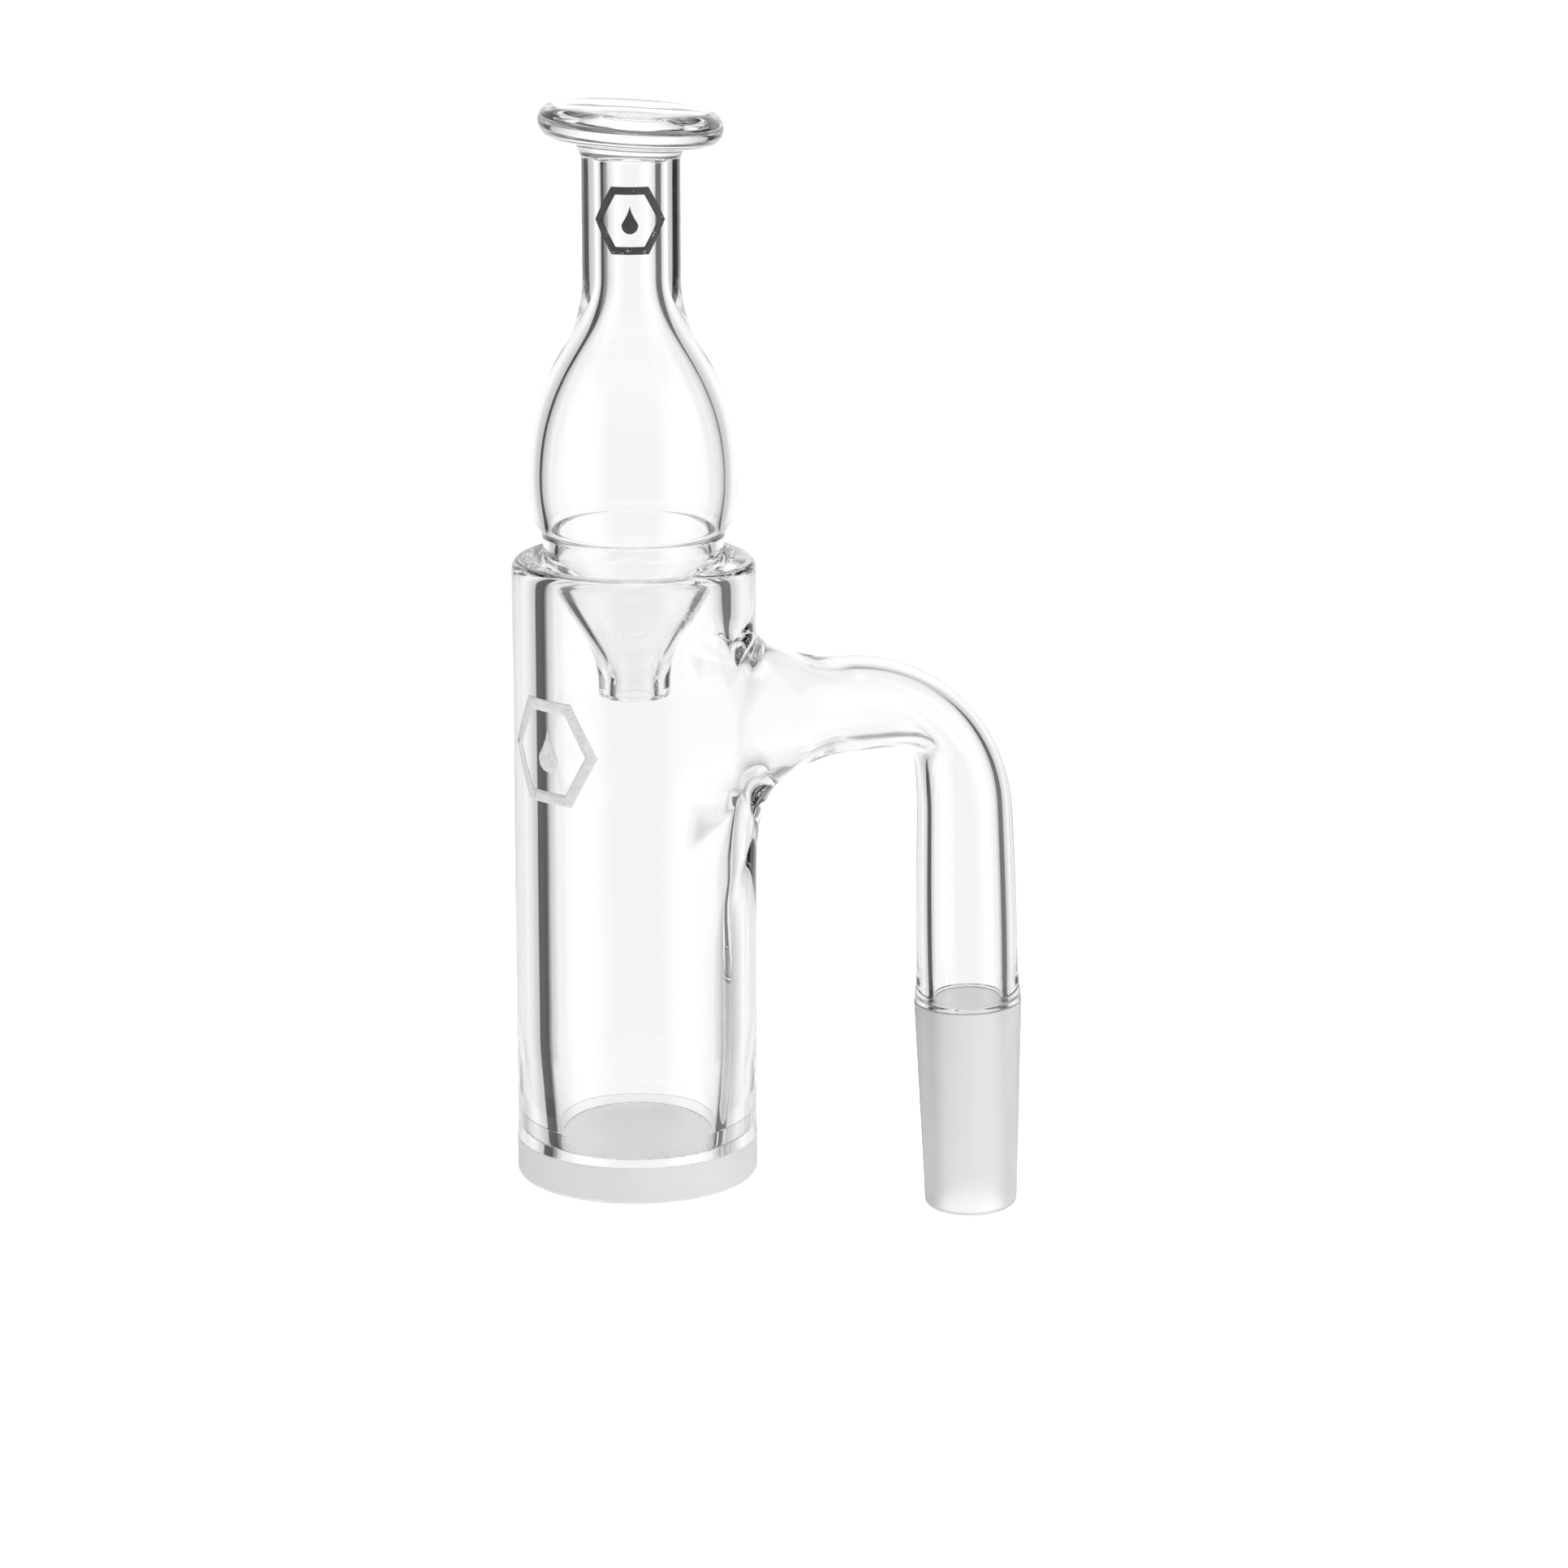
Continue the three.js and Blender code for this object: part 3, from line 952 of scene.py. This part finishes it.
# angles in degrees, lengths in metres
studioLook = {
    "leftDark": 0.02,
    "leftFar": 0.22,
    "rightDark": 0.1,
    "behind": 0.08,
    "gapWide": 75,
    "gapNarrow": 64,
    "wideFrom": -20,
    "narrowFrom": -42,
    "gapTop": 50,
    "lowFade": 0.42,
    "highFade": 0.3,
    "zenith": 3.0,
    "strength": 1.0,
    "floorReach": 3,
    "floorDrop": 0.0002,
    "floorGlow": 0.7,
    "lampSize": 0.5,
    "lampPower": 3.5,
    "lampPlace": (0.4, -0.55, 0.6),
    "lampAim": (0, 0, 0.04),
}


def gapStops(look, reach):
    # brightness against the direction in degrees: 0 is straight ahead, and the left is above it
    left = look["leftDark"]
    leftFar = look["leftFar"]
    right = look["rightDark"]
    behind = look["behind"]
    stops = [(-150, behind), (-128, 1), (-reach - 4, 1), (-reach, right), (-44.5, right)]
    stops += [(-43, 0.62), (-36, 0.68), (-28, 0.86), (-17, 1.05)]
    stops += [(17, 1.05), (28, 0.86), (36, 0.68), (43, 0.6)]
    stops += [(44.5, left), (61, left), (64, leftFar), (reach + 0.1, leftFar), (reach + 4, 1)]
    stops += [(128, 1), (150, behind)]
    return [(angle / 360 + 0.5, level) for angle, level in stops]


def tentStops(look):
    # brightness against height: the backdrop fades up and down, and a softbox hangs overhead
    low = look["lowFade"]
    high = look["highFade"]
    zenith = look["zenith"]
    stops = [(-90, 1.0), (-78, 0.95), (-72, low), (-60, low), (-48, 0.95), (-25, 1), (18, 1)]
    stops += [(30, 0.8), (44, high), (60, high - 0.1), (66, 1.4), (72, zenith), (90, zenith)]
    return [(sin(radians(angle)) / 2 + 0.5, level) for angle, level in stops]


def makeWorld():
    # a white tent with two dark gaps, which draw the edges of the glass
    look = studioLook
    world = bpy.data.worlds.new("studio")
    scene.world = world
    wire = newTree(world)
    turn = radians(cameraLook["azimuth"])
    direction = wire.node("ShaderNodeTexCoord", {}, {}, "Generated")
    east, north, up = [wire.node("ShaderNodeSeparateXYZ", {}, {0: direction}, axis) for axis in range(3)]
    ahead = east * -sin(turn) + north * cos(turn)
    left = east * -cos(turn) + north * -sin(turn)
    around = wire.maths("ARCTAN2", left, ahead) * (1 / tau) + 0.5
    tent = wire.node("ShaderNodeValToRGB", {"stops": tentStops(look)}, {"Fac": up * 0.5 + 0.5})
    wide = wire.node("ShaderNodeValToRGB", {"stops": gapStops(look, look["gapWide"])}, {"Fac": around})
    narrow = wire.node("ShaderNodeValToRGB", {"stops": gapStops(look, look["gapNarrow"])}, {"Fac": around})

    def rise(level, softness):
        return up.between(sin(radians(level - softness)), sin(radians(level)))

    gaps = rise(look["wideFrom"], 3).blend(narrow, wide)
    gaps = rise(look["narrowFrom"], 6).blend(grey(1.0), gaps)
    gaps = rise(look["gapTop"], 8).blend(gaps, grey(1.0))
    multiply = {"data_type": "RGBA", "blend_type": "MULTIPLY"}
    seen = wire.node("ShaderNodeMix", multiply, {0: 1.0, 6: gaps, 7: tent}, 2)
    direct = wire.node("ShaderNodeLightPath", {}, {}, "Is Camera Ray")
    colour = direct.blend(seen, grey(1.0))
    sky = wire.node("ShaderNodeBackground", {}, {"Color": colour, "Strength": look["strength"]})
    endTree(wire, "ShaderNodeOutputWorld", sky)


def makeFloor():
    look = studioLook
    bm = bmesh.new()
    bmesh.ops.create_grid(bm, x_segments=2, y_segments=2, size=look["floorReach"])
    bmesh.ops.translate(bm, vec=(0, 0, cadBounds[0][2] - look["floorDrop"]), verts=bm.verts)
    mesh = bpy.data.meshes.new("studioFloor")
    bm.to_mesh(mesh)
    bm.free()
    material = bpy.data.materials.new("pale floor")
    wire = newTree(material)
    tone = grain(wire, 3, 3).blend(grey(0.9), grey(0.93))
    shader = wire.node("ShaderNodeBsdfPrincipled", {}, {
        "Base Color": tone,
        "Roughness": 0.9,
        "Emission Color": tone,
        "Emission Strength": look["floorGlow"],
    })
    endTree(wire, "ShaderNodeOutputMaterial", shader)
    mesh.materials.append(material)
    floor = bpy.data.objects.new("studioFloor", mesh)
    scene.collection.objects.link(floor)
    floor.visible_transmission = False
    floor.visible_glossy = False


def makeLight():
    # a softbox in front, which brightens frosted faces and isn't mirrored or seen in the clear glass
    look = studioLook
    lamp = bpy.data.lights.new("softbox", "AREA")
    lamp.shape = "SQUARE"
    lamp.size = look["lampSize"]
    lamp.energy = look["lampPower"]
    light = bpy.data.objects.new("softbox", lamp)
    place = Vector(look["lampPlace"])
    light.location = place
    light.visible_glossy = False
    light.visible_transmission = False
    light.rotation_euler = (place - Vector(look["lampAim"])).to_track_quat("Z", "Y").to_euler()
    scene.collection.objects.link(light)


makeWorld()
makeFloor()
makeLight()
scene.view_settings.view_transform = "Standard"
scene.cycles.max_bounces = 32
scene.cycles.transmission_bounces = 28
scene.cycles.glossy_bounces = 20
print("studio ready")
